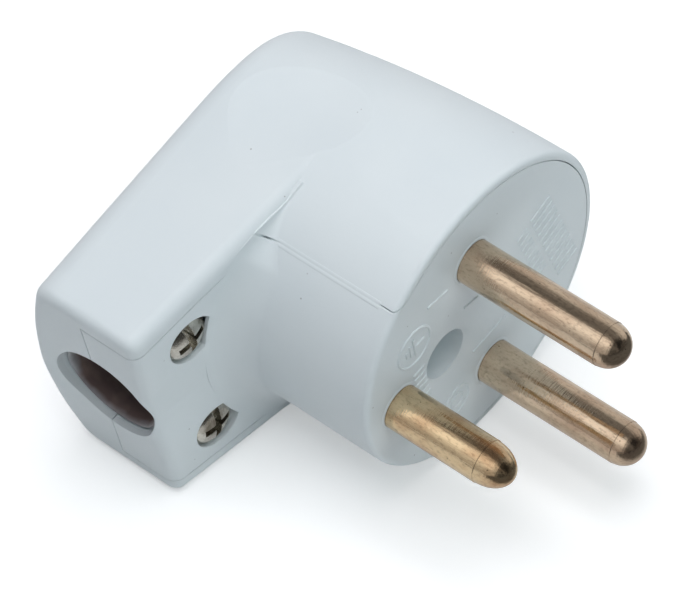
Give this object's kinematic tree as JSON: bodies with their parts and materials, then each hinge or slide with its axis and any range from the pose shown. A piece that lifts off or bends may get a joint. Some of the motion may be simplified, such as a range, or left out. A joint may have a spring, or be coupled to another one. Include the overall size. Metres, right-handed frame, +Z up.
{
  "type": "angled mains plug",
  "caption": "Angled rewireable mains plug: round face with brass pins, and a flat side arm with a round cable entry and two screws.",
  "frame": {"origin": "centre of the round contact face, midway between the line and neutral pins", "axes": "+X along the pins, away from the contact face; +Z up with the plug lying on its flank; the arm points to -Y, 7.45 degrees below level"},
  "size_m": [0.0524, 0.0481, 0.0357],
  "materials": {
    "white_plastic": "satin moulded plastic",
    "inner_plastic": "plain moulded plastic",
    "brass": "turned, lightly tarnished",
    "earth_brass": "turned and polished",
    "plated_steel": "nickel plated"
  },
  "bodies": {
    "root": {"rear_cover": "white_plastic", "front_base": "white_plastic", "line_pin": "brass", "neutral_pin": "brass", "earth_pin": "earth_brass", "line_cup_washer": "plated_steel", "neutral_cup_washer": "plated_steel", "earth_cup_washer": "plated_steel", "line_terminal_screw": "plated_steel", "neutral_terminal_screw": "plated_steel", "earth_terminal_screw": "plated_steel", "pin_retainer": "inner_plastic", "upper_retainer_screw": "plated_steel", "lower_retainer_screw": "plated_steel", "cord_grip": "inner_plastic", "upper_grip_screw": "plated_steel", "lower_grip_screw": "plated_steel", "upper_housing_screw": "plated_steel", "lower_housing_screw": "plated_steel", "upper_threaded_insert": "brass", "lower_threaded_insert": "brass"}
  },
  "joints": []
}
